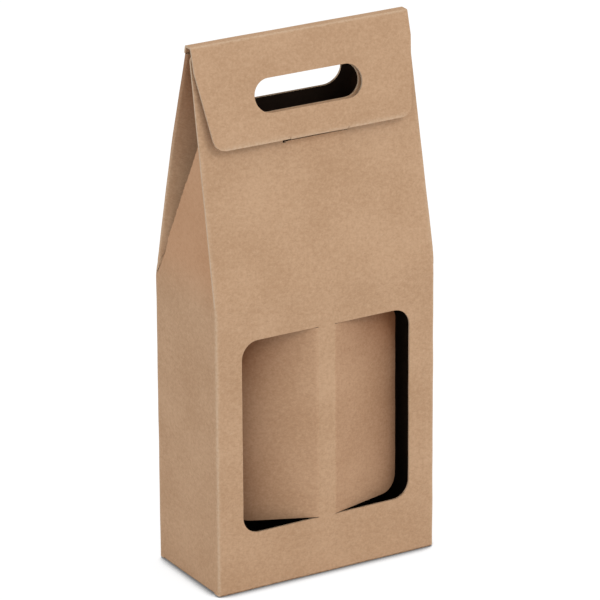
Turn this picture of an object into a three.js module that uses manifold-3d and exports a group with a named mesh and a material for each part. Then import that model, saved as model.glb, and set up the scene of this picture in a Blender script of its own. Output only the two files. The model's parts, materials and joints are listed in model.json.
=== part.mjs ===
// Gift carrier for two wine bottles: one die-cut kraft board, folded and glued into a box with a gable top.
// Millimetres, +Z up, the front faces -Y, and the origin is the middle of the base.
import * as THREE from 'three';
import { mergeVertices } from 'three/addons/utils/BufferGeometryUtils.js';
import Module from 'manifold-3d';

// Box
const WIDTH = 180;
const DEPTH = 87;
const HEIGHT = 400;
const SHOULDER = 219;
const BOARD = 1.5;
const CORNER_RADIUS = 2;

// Clearances that the score lines and die cuts leave
const CREASE_GAP = 0.4;
const CUT_GAP = 0.5;
const SLIDE_GAP = 1;

// Ridge and the panels that lean to it
const RIDGE_WIDTH = 8.3;
const RIDGE_CENTRE = -5.25;
const FRONT_TOP_DROP = 20;
const FRONT_TOP_RADIUS = 6;

// Closure flap with its lock
const FLAP_DEPTH = 75.6;
const FLAP_SPRING = THREE.MathUtils.degToRad(4.2);
const FLAP_STRAIGHT = 18;
const FLAP_TAPER = 8.5;
const FLAP_RADIUS = 11;
const LOCK_SHIFT = 4;
const TAB_WIDTH = 47;
const TAB_REACH = 17;
const TAB_TAPER = 4;
const TAB_RADIUS = 3;
const SLIT_LENGTH = 53;
const SLIT_HEIGHT = 4.8;

// Hand slot, cut through the flap and both slopes
const SLOT_LENGTH = 87;
const SLOT_HEIGHT = 24.4;
const SLOT_DROP = 30;

// Window with its two push-in flaps
const WINDOW_SIDE = 21;
const WINDOW_SILL = 44;
const WINDOW_HEAD = 29;
const WINDOW_RADIUS = 13;
const STRIP_WIDTH = 15;
const LEFT_PUSH = THREE.MathUtils.degToRad(24);
const RIGHT_PUSH = THREE.MathUtils.degToRad(15);

// Side gables, cut free on a slant from the gussets that fold back inside the rear slope
const GABLE_DROP = 68;
const GUSSET_SPRING = THREE.MathUtils.degToRad(22);
const GUSSET_REACH = 30;
const GUSSET_FOOT = 10;
const GUSSET_WIDE_LOW = 75;
const GUSSET_WIDE_HIGH = 118;
const GUSSET_TOP_WIDTH = 9;
const GUSSET_TOP_DROP = 14;
const GUSSET_RADIUS = 5;

// Glued seam and snap-lock base
const SEAM_WIDTH = 16;
const SEAM_MARGIN = 8;
const SEAM_TAPER = 6;
const BASE_REAR_LAP = 12;
const BASE_FRONT_LAP = 5;
const BASE_NOTCH_DEPTH = 15;
const BASE_NOTCH_SPARE = 4;
const BASE_TONGUE_WIDTH = 66;
const BASE_TONGUE_ROOT = 12;
const BASE_TONGUE_LAP = 17;
const BASE_SIDE_MARGIN = 5;
const BASE_SIDE_LAP = 11;
const BASE_SIDE_CLEAR = 8.5;
const BASE_END_TAPER = 7;
const BASE_RADIUS = 5;

// Facets on each rounded corner
const ARC_STEPS = 10;

// Places worked out from the driving dimensions
const halfWidth = WIDTH / 2;
const halfDepth = DEPTH / 2;
const innerHalfWidth = halfWidth - BOARD;
const innerHalfDepth = halfDepth - BOARD;
const gableHeight = HEIGHT - SHOULDER;
const ridgeFront = RIDGE_CENTRE - RIDGE_WIDTH / 2;
const ridgeRear = RIDGE_CENTRE + RIDGE_WIDTH / 2;
const frontRun = ridgeFront + BOARD + CUT_GAP + halfDepth;
const frontLean = Math.atan2(frontRun, gableHeight);
const frontSlant = Math.hypot(frontRun, gableHeight);
const flapLean = frontLean + FLAP_SPRING;
const rearRun = halfDepth - ridgeRear;
const rearLean = Math.atan2(rearRun, gableHeight);
const rearSlant = Math.hypot(rearRun, gableHeight);
const topInset = BOARD + SLIDE_GAP;
const topHalf = halfWidth - topInset;
const windowTop = SHOULDER - WINDOW_HEAD;
const windowEdge = halfWidth - WINDOW_SIDE;

const wasm = await Module();
wasm.setup();

// Closed geometry to a solid that can be joined and cut, and back again
function toSolid(geometry) {
  const bare = geometry.clone();
  bare.deleteAttribute('normal');
  bare.deleteAttribute('uv');
  const merged = mergeVertices(bare);
  return new wasm.Manifold(new wasm.Mesh({
    numProp: 3,
    vertProperties: new Float32Array(merged.attributes.position.array),
    triVerts: new Uint32Array(merged.index.array),
  }));
}

function toGeometry(solid) {
  const mesh = solid.getMesh();
  const geometry = new THREE.BufferGeometry();
  geometry.setAttribute('position', new THREE.BufferAttribute(new Float32Array(mesh.vertProperties), 3));
  geometry.setIndex(new THREE.BufferAttribute(new Uint32Array(mesh.triVerts), 1));
  geometry.computeVertexNormals();
  return geometry;
}

// Points of an arc that rounds the corner between two directions that leave it
function roundedCorner(corner, back, ahead, radius) {
  const halfAngle = Math.acos(back.dot(ahead)) / 2;
  const inward = back.clone().add(ahead).normalize();
  const centre = inward.clone().multiplyScalar(radius / Math.sin(halfAngle)).add(corner);
  const sweep = Math.PI - 2 * halfAngle;
  const turn = back.cross(ahead) > 0 ? -1 : 1;
  const points = [];
  for (let i = 0; i <= ARC_STEPS; i += 1) {
    const angle = turn * sweep * (i / ARC_STEPS - 0.5);
    const spoke = inward.clone().multiplyScalar(-radius).rotateAround(new THREE.Vector2(), angle);
    points.push(spoke.add(centre));
  }
  return points;
}

// Closed outline through [across, up, radius] corners, listed anticlockwise
function outline(corners) {
  const count = corners.length;
  const points = corners.flatMap(([x, y, radius = 0], i) => {
    const corner = new THREE.Vector2(x, y);
    if (radius <= 0) {
      return [corner];
    }
    const before = corners[(i + count - 1) % count];
    const after = corners[(i + 1) % count];
    const back = new THREE.Vector2(before[0], before[1]).sub(corner).normalize();
    const ahead = new THREE.Vector2(after[0], after[1]).sub(corner).normalize();
    return roundedCorner(corner, back, ahead, radius);
  });
  return new THREE.Shape(points);
}

// Long hole with round ends
function stadium(length, height, middle) {
  const radius = height / 2;
  const reach = length / 2 - radius;
  const points = [];
  for (const side of [1, -1]) {
    for (let i = 0; i <= 2 * ARC_STEPS; i += 1) {
      const angle = Math.PI / 2 * (i / ARC_STEPS - side);
      const spoke = new THREE.Vector2(radius, 0).rotateAround(new THREE.Vector2(), angle);
      points.push(spoke.add(new THREE.Vector2(side * reach, middle)));
    }
  }
  return new THREE.Shape(points);
}

// Prism of an outline in the XZ plane, reaching from y = start to y = start + depth
function upright(shape, start, depth) {
  const geometry = new THREE.ExtrudeGeometry(shape, { depth, bevelEnabled: false });
  geometry.rotateX(Math.PI / 2);
  geometry.translate(0, start + depth, 0);
  return geometry;
}

// Board panel standing in the XZ plane: outer face on y = 0, thickness towards +Y or -Y
function panel(shape, inward) {
  return upright(shape, inward > 0 ? 0 : -BOARD, BOARD);
}

// Die-cut holes through a panel that still stands on y = 0
function pierce(board, cuts) {
  const pierced = cuts.reduce(
    (solid, cut) => solid.subtract(toSolid(upright(cut, -2 * BOARD, 4 * BOARD))),
    toSolid(board),
  );
  return toGeometry(pierced);
}

// Draws in the inner face along one crease, so that two folded panels meet on a mitre
function mitre(geometry, height, fold, direction) {
  const position = geometry.attributes.position;
  const inset = direction * BOARD * Math.tan(fold / 2);
  for (let i = 0; i < position.count; i += 1) {
    const inner = Math.abs(position.getY(i)) > BOARD / 2;
    if (inner && Math.abs(position.getZ(i) - height) < 1e-4) {
      position.setZ(i, height + inset);
    }
  }
  return geometry;
}

// Flat board lying on a height, from an outline in plan
function sheet(shape, low) {
  const geometry = new THREE.ExtrudeGeometry(shape, { depth: BOARD, bevelEnabled: false });
  geometry.translate(0, 0, low);
  return geometry;
}

function kraft(colour) {
  return new THREE.MeshStandardMaterial({ color: colour, roughness: 0.9, metalness: 0 });
}

const OUTER_KRAFT = 0xc09d79;
const SHADED_KRAFT = 0xaf8e76;

function piece(name, geometry, colour = OUTER_KRAFT) {
  const mesh = new THREE.Mesh(geometry, kraft(colour));
  mesh.name = name;
  return mesh;
}

// Carrier group that stands at a crease; turn is about X and tips a panel towards -Y
function crease(y, z, turn) {
  const group = new THREE.Group();
  group.position.set(0, y, z);
  group.rotation.x = turn;
  return group;
}

// Plan of the box with its rounded upright corners, which trims the front and back walls
function planPrism() {
  const plan = outline([
    [-halfWidth, -halfDepth, CORNER_RADIUS],
    [halfWidth, -halfDepth, CORNER_RADIUS],
    [halfWidth, halfDepth, CORNER_RADIUS],
    [-halfWidth, halfDepth, CORNER_RADIUS],
  ]);
  const prism = new THREE.ExtrudeGeometry(plan, { depth: HEIGHT, bevelEnabled: false });
  return toSolid(prism);
}

// Half of the window on one side of the middle strip, in by a margin all round
function windowHalf(side, margin) {
  const near = side * (STRIP_WIDTH / 2 + margin);
  const far = side * (windowEdge - margin);
  const low = WINDOW_SILL + margin;
  const high = windowTop - margin;
  const radius = WINDOW_RADIUS - margin;
  const corners = [[near, low], [far, low, radius], [far, high, radius], [near, high]];
  return outline(side > 0 ? corners : corners.reverse());
}

// Front and back walls
function uprightWall(inward, cuts) {
  const top = SHOULDER - CREASE_GAP / 2;
  const face = outline([[-halfWidth, 0], [halfWidth, 0], [halfWidth, top], [-halfWidth, top]]);
  const board = pierce(panel(face, inward), cuts);
  board.translate(0, -inward * halfDepth, 0);
  return toGeometry(toSolid(board).intersect(planPrism()));
}

const frontWindows = [-1, 1].map((side) => windowHalf(side, 0));
const frontWall = piece('front_wall', uprightWall(1, frontWindows));
const backWall = piece('back_wall', uprightWall(-1, []));

// Side walls: each runs on without a crease into a gable that follows the front slope
const gableApexZ = HEIGHT - GABLE_DROP;
const frontInnerShift = BOARD / Math.cos(frontLean) + CREASE_GAP - halfDepth;
const frontInnerAt = (z) => frontInnerShift + Math.tan(frontLean) * (z - SHOULDER);
const gableRearZ = SHOULDER - SLIDE_GAP;

function sideWall(side) {
  const front = [
    [frontInnerAt(gableApexZ), gableApexZ],
    [frontInnerAt(SHOULDER), SHOULDER],
    [-innerHalfDepth, SHOULDER - SLIDE_GAP],
    [-innerHalfDepth, 0],
  ];
  const rear = [
    [innerHalfDepth, 0],
    [innerHalfDepth, gableRearZ],
  ];
  const corners = [...front, ...rear].map(([y, z]) => [side * y, z]);
  const board = panel(outline(side > 0 ? corners : corners.reverse()), 1);
  board.rotateZ(side * Math.PI / 2);
  board.translate(side * halfWidth, 0, 0);
  return board;
}

const leftWall = piece('left_wall', sideWall(-1), SHADED_KRAFT);
const rightWall = piece('right_wall', sideWall(1), SHADED_KRAFT);

// Glued seam inside the right wall, hinged on the back wall's edge
function glueFlap() {
  const low = SEAM_MARGIN;
  const high = SHOULDER - SEAM_MARGIN;
  const board = panel(outline([
    [innerHalfDepth - SEAM_WIDTH, low + SEAM_TAPER],
    [innerHalfDepth, low],
    [innerHalfDepth, high],
    [innerHalfDepth - SEAM_WIDTH, high - SEAM_TAPER],
  ]), 1);
  board.rotateZ(Math.PI / 2);
  board.translate(innerHalfWidth, 0, 0);
  return board;
}

const seam = piece('glue_flap', glueFlap(), SHADED_KRAFT);

// Snap-lock base, from the outside in: front flap, two side flaps, rear flap, front flap's tongue on top
const sideLayer = BOARD;
const rearLayer = 2 * BOARD;
const tongueLayer = 3 * BOARD;
const rearFree = -BASE_REAR_LAP;
const notchFloor = rearFree + BASE_NOTCH_DEPTH;
const tongueHalf = BASE_TONGUE_WIDTH / 2;
const notchHalf = tongueHalf + BASE_NOTCH_SPARE;

function baseRearFlap() {
  const reach = innerHalfWidth - CUT_GAP;
  return sheet(outline([
    [-reach, innerHalfDepth],
    [-reach + BASE_END_TAPER, rearFree, BASE_RADIUS],
    [-notchHalf, rearFree, BASE_RADIUS],
    [-notchHalf, notchFloor],
    [notchHalf, notchFloor],
    [notchHalf, rearFree, BASE_RADIUS],
    [reach - BASE_END_TAPER, rearFree, BASE_RADIUS],
    [reach, innerHalfDepth],
  ]), rearLayer);
}

function baseSideFlap(side) {
  const root = innerHalfDepth - BASE_SIDE_MARGIN;
  const outer = side * innerHalfWidth;
  const inner = side * (tongueHalf + BASE_SIDE_CLEAR);
  const corners = [
    [outer, -root],
    [outer, root],
    [inner, root - BASE_END_TAPER, BASE_RADIUS],
    [inner, -BASE_SIDE_LAP, BASE_RADIUS],
  ];
  return sheet(outline(side > 0 ? corners : corners.reverse()), sideLayer);
}

function baseFrontFlap() {
  const reach = innerHalfWidth - CUT_GAP;
  const free = BASE_FRONT_LAP;
  const root = -BASE_TONGUE_ROOT;
  const notch = tongueHalf + CUT_GAP;
  const flat = toSolid(sheet(outline([
    [-reach, -innerHalfDepth],
    [reach, -innerHalfDepth],
    [reach - BASE_END_TAPER, free, BASE_RADIUS],
    [notch, free, BASE_RADIUS],
    [notch, root],
    [-notch, root],
    [-notch, free, BASE_RADIUS],
    [-reach + BASE_END_TAPER, free, BASE_RADIUS],
  ]), 0));
  const climbEnd = notchFloor - CUT_GAP;
  const rise = tongueLayer + CREASE_GAP / 2;
  const lapEnd = notchFloor + BASE_TONGUE_LAP;
  const lean = Math.atan2(rise, climbEnd - root);
  const bend = BOARD * Math.tan(lean / 2);
  const profile = outline([
    [root - BOARD, 0],
    [root, 0],
    [climbEnd, rise],
    [lapEnd, rise],
    [lapEnd, rise + BOARD],
    [climbEnd - bend, rise + BOARD],
    [root - bend, BOARD],
    [root - BOARD, BOARD],
  ]);
  const ramp = new THREE.ExtrudeGeometry(profile, { depth: 2 * tongueHalf, bevelEnabled: false });
  ramp.rotateX(Math.PI / 2);
  ramp.rotateZ(Math.PI / 2);
  ramp.translate(-tongueHalf, 0, 0);
  return toGeometry(flat.add(toSolid(ramp)));
}

const baseRear = piece('base_rear_flap', baseRearFlap(), SHADED_KRAFT);
const baseLeft = piece('base_left_flap', baseSideFlap(-1), SHADED_KRAFT);
const baseRight = piece('base_right_flap', baseSideFlap(1), SHADED_KRAFT);
const baseFront = piece('base_front_flap', baseFrontFlap(), SHADED_KRAFT);

// Front slope: slotted for the hand, slit for the lock tab, stopping short of the ridge
const frontTop = crease(-halfDepth, SHOULDER, -frontLean);
const frontWidthAt = (up) => halfWidth - topInset * up / frontSlant;

// Height up the slope where the lock tab, square to the flap, passes through the board
function slitMiddle() {
  const upSlope = new THREE.Vector2(Math.sin(frontLean), Math.cos(frontLean));
  const throughSlope = new THREE.Vector2(Math.cos(frontLean), -Math.sin(frontLean));
  const downFlap = new THREE.Vector2(-Math.sin(flapLean), -Math.cos(flapLean));
  const alongTab = new THREE.Vector2(Math.cos(flapLean), -Math.sin(flapLean));
  const fold = new THREE.Vector2(ridgeFront + halfDepth, gableHeight);
  fold.addScaledVector(downFlap, FLAP_DEPTH - BOARD / 2);
  const reach = (BOARD / 2 - fold.dot(throughSlope)) / alongTab.dot(throughSlope);
  return fold.addScaledVector(alongTab, reach).dot(upSlope);
}

function frontSlope() {
  const low = CREASE_GAP / 2;
  const high = frontSlant - FRONT_TOP_DROP;
  const slot = stadium(SLOT_LENGTH, SLOT_HEIGHT, frontSlant - SLOT_DROP - SLOT_HEIGHT / 2);
  const slitLow = slitMiddle() - SLIT_HEIGHT / 2;
  const slitHigh = slitLow + SLIT_HEIGHT;
  const slitLeft = LOCK_SHIFT - SLIT_LENGTH / 2;
  const slitRight = LOCK_SHIFT + SLIT_LENGTH / 2;
  const slit = outline([
    [slitLeft, slitLow],
    [slitRight, slitLow],
    [slitRight, slitHigh],
    [slitLeft, slitHigh],
  ]);
  const face = outline([
    [-frontWidthAt(low), low],
    [frontWidthAt(low), low],
    [frontWidthAt(high), high, FRONT_TOP_RADIUS],
    [-frontWidthAt(high), high, FRONT_TOP_RADIUS],
  ]);
  return pierce(mitre(panel(face, 1), low, frontLean, 1), [slot, slit]);
}

frontTop.add(piece('front_slope', frontSlope()));

// Rear slope: slotted for the hand, narrowing evenly from the shoulder to the ridge
const rearTop = crease(halfDepth, SHOULDER, rearLean);
const ridgeFold = Math.PI / 2 - rearLean;
const flapFold = Math.PI / 2 - flapLean;
const rearWidthAt = (up) => halfWidth - topInset * up / rearSlant;

function rearSlope() {
  const low = CREASE_GAP / 2;
  const high = rearSlant - CREASE_GAP / 2;
  const slot = stadium(SLOT_LENGTH, SLOT_HEIGHT, rearSlant - SLOT_DROP - SLOT_HEIGHT / 2);
  const face = outline([
    [-rearWidthAt(low), low],
    [rearWidthAt(low), low],
    [rearWidthAt(high), high],
    [-rearWidthAt(high), high],
  ]);
  const board = mitre(panel(face, -1), high, ridgeFold, -1);
  return pierce(mitre(board, low, rearLean, 1), [slot]);
}

rearTop.add(piece('rear_slope', rearSlope()));

// Gusset on each side edge of the rear slope, folded back inside it and springing off its inner face
const rearTaper = Math.atan2(topInset, rearSlant);

function gusset(side) {
  const group = new THREE.Group();
  group.position.set(side * halfWidth, -BOARD - CREASE_GAP, 0);
  group.rotation.y = -side * rearTaper;
  const root = CREASE_GAP + BOARD * Math.sin(GUSSET_SPRING);
  const top = rearSlant - GUSSET_TOP_DROP;
  const corners = [
    [root, GUSSET_FOOT],
    [GUSSET_REACH, GUSSET_WIDE_LOW, GUSSET_RADIUS],
    [GUSSET_REACH, GUSSET_WIDE_HIGH, GUSSET_RADIUS],
    [GUSSET_TOP_WIDTH, top],
    [root, top],
  ].map(([across, up, radius]) => [-side * across, up, radius]);
  const board = panel(outline(side < 0 ? corners : corners.reverse()), 1);
  board.translate(0, -BOARD, 0);
  board.rotateZ(side * GUSSET_SPRING);
  group.add(piece(side < 0 ? 'left_gusset' : 'right_gusset', board, SHADED_KRAFT));
  return group;
}

rearTop.add(gusset(-1), gusset(1));

// Ridge strip over the top, between two creases
const ridge = crease(0, rearSlant, ridgeFold);

function ridgeStrip() {
  const low = CREASE_GAP / 2;
  const high = RIDGE_WIDTH - CREASE_GAP / 2;
  const face = outline([[-topHalf, low], [topHalf, low], [topHalf, high], [-topHalf, high]]);
  return mitre(mitre(panel(face, -1), low, ridgeFold, 1), high, flapFold, -1);
}

ridge.add(piece('ridge_strip', ridgeStrip()));
rearTop.add(ridge);

// Closure flap hanging down the front, with tapered sides and rounded lower corners
const flap = crease(0, RIDGE_WIDTH, flapFold);

function closureFlap() {
  const low = CREASE_GAP / 2;
  const slot = stadium(SLOT_LENGTH, SLOT_HEIGHT, SLOT_DROP + SLOT_HEIGHT / 2);
  const face = outline([
    [-topHalf, low],
    [topHalf, low],
    [topHalf, FLAP_STRAIGHT],
    [topHalf - FLAP_TAPER, FLAP_DEPTH, FLAP_RADIUS],
    [-topHalf + FLAP_TAPER, FLAP_DEPTH, FLAP_RADIUS],
    [-topHalf, FLAP_STRAIGHT],
  ]);
  return pierce(mitre(panel(face, -1), low, flapFold, 1), [slot]);
}

flap.add(piece('closure_flap', closureFlap()));
ridge.add(flap);

// Lock tab folded in from the flap's lower edge, through the slit
const lock = crease(0, FLAP_DEPTH, Math.PI / 2);

function lockTab() {
  const left = LOCK_SHIFT - TAB_WIDTH / 2;
  const right = LOCK_SHIFT + TAB_WIDTH / 2;
  const low = BOARD + CREASE_GAP;
  return panel(outline([
    [left, low],
    [right, low],
    [right - TAB_TAPER, TAB_REACH, TAB_RADIUS],
    [left + TAB_TAPER, TAB_REACH, TAB_RADIUS],
  ]), -1);
}

lock.add(piece('lock_tab', lockTab()));
flap.add(lock);

// Window flaps, hinged on the middle strip's inner face and pushed in between the bottles
function windowFlap(side, push) {
  const group = new THREE.Group();
  const hinge = side * STRIP_WIDTH / 2;
  group.position.set(hinge, -innerHalfDepth, 0);
  group.rotation.z = side * push;
  const board = panel(windowHalf(side, CUT_GAP), 1);
  board.translate(-hinge, -BOARD, 0);
  group.add(piece(side < 0 ? 'left_window_flap' : 'right_window_flap', board));
  return group;
}

const carrier = new THREE.Group();
carrier.add(frontWall, backWall, leftWall, rightWall, seam);
carrier.add(baseRear, baseLeft, baseRight, baseFront);
carrier.add(frontTop, rearTop);
carrier.add(windowFlap(-1, LEFT_PUSH), windowFlap(1, RIGHT_PUSH));

export default carrier;
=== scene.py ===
import json
import math

import bpy
import numpy as np
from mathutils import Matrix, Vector, geometry


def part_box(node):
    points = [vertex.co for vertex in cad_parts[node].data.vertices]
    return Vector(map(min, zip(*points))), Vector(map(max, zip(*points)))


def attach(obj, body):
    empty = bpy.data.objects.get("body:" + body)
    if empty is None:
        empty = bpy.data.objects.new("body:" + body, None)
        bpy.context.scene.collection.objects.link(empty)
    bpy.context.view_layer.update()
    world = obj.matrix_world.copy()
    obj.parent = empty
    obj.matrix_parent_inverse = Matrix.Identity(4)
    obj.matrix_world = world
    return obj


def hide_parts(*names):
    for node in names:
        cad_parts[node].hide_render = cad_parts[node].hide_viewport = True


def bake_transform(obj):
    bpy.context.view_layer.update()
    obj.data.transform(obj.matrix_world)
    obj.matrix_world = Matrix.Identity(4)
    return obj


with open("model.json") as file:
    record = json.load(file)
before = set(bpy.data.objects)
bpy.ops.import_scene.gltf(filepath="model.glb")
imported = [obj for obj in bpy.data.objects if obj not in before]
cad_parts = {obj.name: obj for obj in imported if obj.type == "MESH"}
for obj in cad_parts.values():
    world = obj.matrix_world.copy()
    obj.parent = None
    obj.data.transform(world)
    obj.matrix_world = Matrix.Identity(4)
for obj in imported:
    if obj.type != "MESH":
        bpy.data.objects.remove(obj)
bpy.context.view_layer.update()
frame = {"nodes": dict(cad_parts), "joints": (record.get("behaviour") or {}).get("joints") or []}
nodes = frame["nodes"]
MM = 0.001
X, Y, Z = np.eye(3)

# Corrugated board, in millimetres
LINER = 0.28
MEDIUM = 0.2
FLUTE_PITCH = 3.2
FLUTE_STEPS = 6
FLUTE_GRIP = 0.03
CREASE_CRUSH = 0.8

# Creases: radius of the fold's outer face, or the length of a soft bend on each side of it
CORNER_RADIUS = 2
RIDGE_RADIUS = 1.5
TAB_RADIUS = 2.2
WINDOW_RADIUS = 6
FRONT_BEND = 8
REAR_BEND = 5
CREASE_SPREAD = 0.6

# Laps and gaps between neighbouring boards
CORNER_STRIP = CORNER_RADIUS + 1
RIDGE_LAP = 6
GABLE_LAP = 0.6
SHOULDER_GAP = 0.05
REAR_EDGE_GAP = 0.15
REAR_EDGE_STEP = 1
BEND_ROOM = 1
SEAM_GAP = 0.4
TAB_GAP = 0.4

# Base: the creases lie on the floor, and each flap climbs from there to its own level
FOOT = 0.05
BASE_RADIUS = 1.8
BASE_CLIMB = 5
BASE_CLIMB_RADIUS = 4
BASE_SIDE_GAP = 1
CORNER_LIFT = 1.1
TONGUE_CHAMFER = 4
TONGUE_GAP = 0.2

# Gussets: fold, cut foot, twist from foot to head, and painted shade towards the head
GUSSET_RADIUS = 2.2
GUSSET_FOOT = 6
GUSSET_CUT = 7.5
GUSSET_CUT_START = 0.6
GUSSET_CUT_STEP = 1
GUSSET_HEAD_CUT = 3
GUSSET_GAP = 0.1
GUSSET_TWIST = (math.radians(-26), math.radians(12))
GUSSET_SHADE = 0.65

# Rear slope's corner below a gusset: shares of the fold it goes round by heights, then its end inside
WRAP_EDGE = ((0.55, SHOULDER_GAP), (0.85, 5))
WRAP_LIP = 1.8
WRAP_TUCK_START = 2.6
WRAP_TUCK = 6
WRAP_RISE = 4
WRAP_TOP = 11.5

# Relaxed shape of the panels
REAR_BOW = 2.2
WAVE_HEIGHT = 0.12
WAVE_LENGTH = 70
GABLE_EASE = 16
GABLE_EASE_START = 20

# Nubs that torn nicks leave on the gables' rear edges, as shares of the edge
NICKS = (0.30, 0.49, 0.715, 0.84)
NICK_HEIGHT = 0.7
NICK_WIDTH = 1.6
NICK_STEP = 0.7
NICK_START = 0.5
RAGGED_COARSE = 0.18
RAGGED_FINE = 0.12

# Front slope: how far it reaches up behind the flap, its narrowed slit, and its feet as insets by heights
FRONT_TOP_RISE = 15
FRONT_HEAD = 10
SLIT_RISE = 0.9
SLIT_END = 2.4
LEFT_FOOT = ((0.1, 1.5), (0.3, SHOULDER_GAP))
RIGHT_FOOT = ((0.8, SHOULDER_GAP), (0.5, 4), (0.2, 12))

# Painted shade inside the box, in the window flaps and gussets, and warmer and darker up the gables; a
# painted highlight along the front slope's side edges
INSIDE_SHADE = 0.95
OPEN_REACH = 40
WINDOW_SHADE = 45
TOP_SHADE = 0.7
EDGE_SHADE = {-1: 0.75, 1: 0.6}
CREASE_SHADE = {-1: 0, 1: 0.15}
EDGE_HIGHLIGHT = 0.8
GABLE_SHADE_RISE = (205, 250)
GABLE_SHADE_SHARE = 0.35

# Grain of the paper: sizes in millimetres, direction in radians, length against width
CLOUD = {"size": 45, "detail": 3}
MOTTLE = {"size": 3.5, "detail": 4}
GRAIN = {"size": 1.6}
CREASE_TONE_NOISE = {"size": 2.2, "detail": 3}
SPECK = {"size": 1.1, "turn": 0.9, "detail": 1, "stretch": 2.5}
LONG_FIBRE = {"size": 0.55, "turn": 0.35, "stretch": 14}
CROSS_FIBRE = {"size": 0.5, "turn": -0.6, "stretch": 10}
FIBRE_RELIEF = 0.12

# Mesh: spacing, room at edges, points that count as one, points that count as a crease's, and a long leg
GRID_STEP = 6
BEND_STEPS = 8
EDGE_ROOM = 0.15
SAME_SPOT = 0.02
CREASE_ZONE = 4
SHARP_ANGLE = math.radians(40)
LEG = 200


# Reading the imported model
def node_points(name):
    return np.array([vertex.co for vertex in nodes[name].data.vertices]) / MM


def node_box(name):
    low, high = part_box(name)
    return np.array(low) / MM, np.array(high) / MM


def joint_entry(name):
    return next(joint for joint in frame["joints"] if joint["name"] == name)


def joint_place(name):
    return np.array(joint_entry(name)["pos_m"]) / MM


def outer_normal(name, towards):
    """Normal of the node's largest face that looks roughly towards a direction"""
    best = max(
        (face for face in nodes[name].data.polygons if np.dot(face.normal, towards) > 0.8),
        key=lambda face: face.area,
    )
    return np.array(best.normal)


def face_loops(name, origin, across, up):
    """Outlines of the node's flat face through origin, as loops of (across, up), largest first"""
    normal = np.cross(across, up)
    points = node_points(name) - origin
    flat = np.column_stack([points @ across, points @ up, points @ normal])
    keys = [tuple(key) for key in np.round(flat[:, :2] / SAME_SPOT).astype(int)]
    place = dict(zip(keys, flat[:, :2].tolist()))
    follow = {}
    for face in nodes[name].data.polygons:
        off = max(abs(flat[index][2]) for index in face.vertices)
        if np.dot(face.normal, normal) < 0.99 or off > 0.1:
            continue
        ring = [keys[index] for index in face.vertices]
        for a, b in zip(ring, ring[1:] + ring[:1]):
            if a in follow.get(b, ()):
                follow[b].remove(a)
            else:
                follow.setdefault(a, []).append(b)
    loops = []
    while any(follow.values()):
        key = next(key for key, ends in follow.items() if ends)
        loop = []
        while follow.get(key):
            loop.append(tuple(place[key]))
            key = follow[key].pop()
        loops.append(loop)
    return sorted(loops, key=lambda loop: -abs(loop_area(loop)))


def loop_area(loop):
    a = np.array(loop)
    b = np.roll(a, -1, axis=0)
    return float(np.sum(a[:, 0] * b[:, 1] - a[:, 1] * b[:, 0]) / 2)


def replace_run(loop, drop, points):
    """The loop with its one run of points that meet drop exchanged for other points"""
    marks = [drop(point) for point in loop]
    start = next(i for i in range(len(loop)) if marks[i - 1] and not marks[i])
    turned = loop[start:] + loop[:start]
    return [point for point in turned if not drop(point)] + list(points)


def shifted(loop, across, up):
    return [(u + across, v + up) for u, v in loop]


def flipped(loop):
    return [(-u, v) for u, v in reversed(loop)]


def nicked(start, end):
    """Points from start to end along a perforated edge, with the small nubs that its torn nicks leave"""
    start, end = np.array(start), np.array(end)
    length = np.linalg.norm(end - start)
    along = (end - start) / length
    out = np.array([along[1], -along[0]])
    points = []
    for reach in np.arange(NICK_START, length, NICK_STEP):
        rise = sum(math.exp(-(((reach / length - nick) * length / NICK_WIDTH) ** 2)) for nick in NICKS)
        ragged = RAGGED_COARSE * math.sin(reach * 0.9) + RAGGED_FINE * math.sin(reach * 2.3 + 1)
        points.append(tuple(start + along * reach + out * (NICK_HEIGHT * rise + ragged)))
    return points


# Folded paths
class FoldPath:
    """Line through points of a plane with rounded corners; t is the length along the sharp line"""

    def __init__(self, points, radii, zero=0):
        self.points = np.array(points, float)
        legs = np.diff(self.points, axis=0)
        lengths = np.linalg.norm(legs, axis=1)
        self.along = legs / lengths[:, None]
        self.marks = np.concatenate([[0], np.cumsum(lengths)])
        self.marks -= self.marks[zero]
        self.radii = radii
        self.turns = []
        for before, after in zip(self.along, self.along[1:]):
            self.turns.append(math.atan2(before[0] * after[1] - before[1] * after[0], before @ after))

    def reach(self, corner):
        """Length of sharp line on each side of a corner that its arc takes the place of"""
        return self.radii[corner] * math.tan(abs(self.turns[corner]) / 2)

    def bends(self):
        return [(self.marks[i + 1], self.reach(i)) for i in range(len(self.turns))]

    def at(self, t):
        """Places, outward normals, and how strongly the board is bent there"""
        t = np.asarray(t, float)
        leg = np.searchsorted(self.marks[1:-1], t, side="right")
        heading = self.along[leg]
        place = self.points[leg] + heading * (t - self.marks[leg])[:, None]
        bend = np.zeros(len(t))
        for i, turn in enumerate(self.turns):
            reach = self.reach(i)
            offset = t - self.marks[i + 1]
            near = np.abs(offset) < reach
            angle = turn * (offset[near] / reach + 1) / 2
            first = self.along[i]
            c, s = np.cos(angle), np.sin(angle)
            along = np.column_stack([first[0] * c - first[1] * s, first[0] * s + first[1] * c])
            left = np.column_stack([-along[:, 1], along[:, 0]])
            start = self.points[i + 1] - first * reach
            radius = math.copysign(self.radii[i], turn)
            place[near] = start + radius * (np.array([-first[1], first[0]]) - left)
            heading[near] = along
            sharpness = min(1, abs(turn))
            bend = np.maximum(bend, sharpness * np.exp(-((offset / (reach + CREASE_SPREAD)) ** 2)))
        normal = np.column_stack([heading[:, 1], -heading[:, 0]])
        return place, normal, bend


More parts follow.
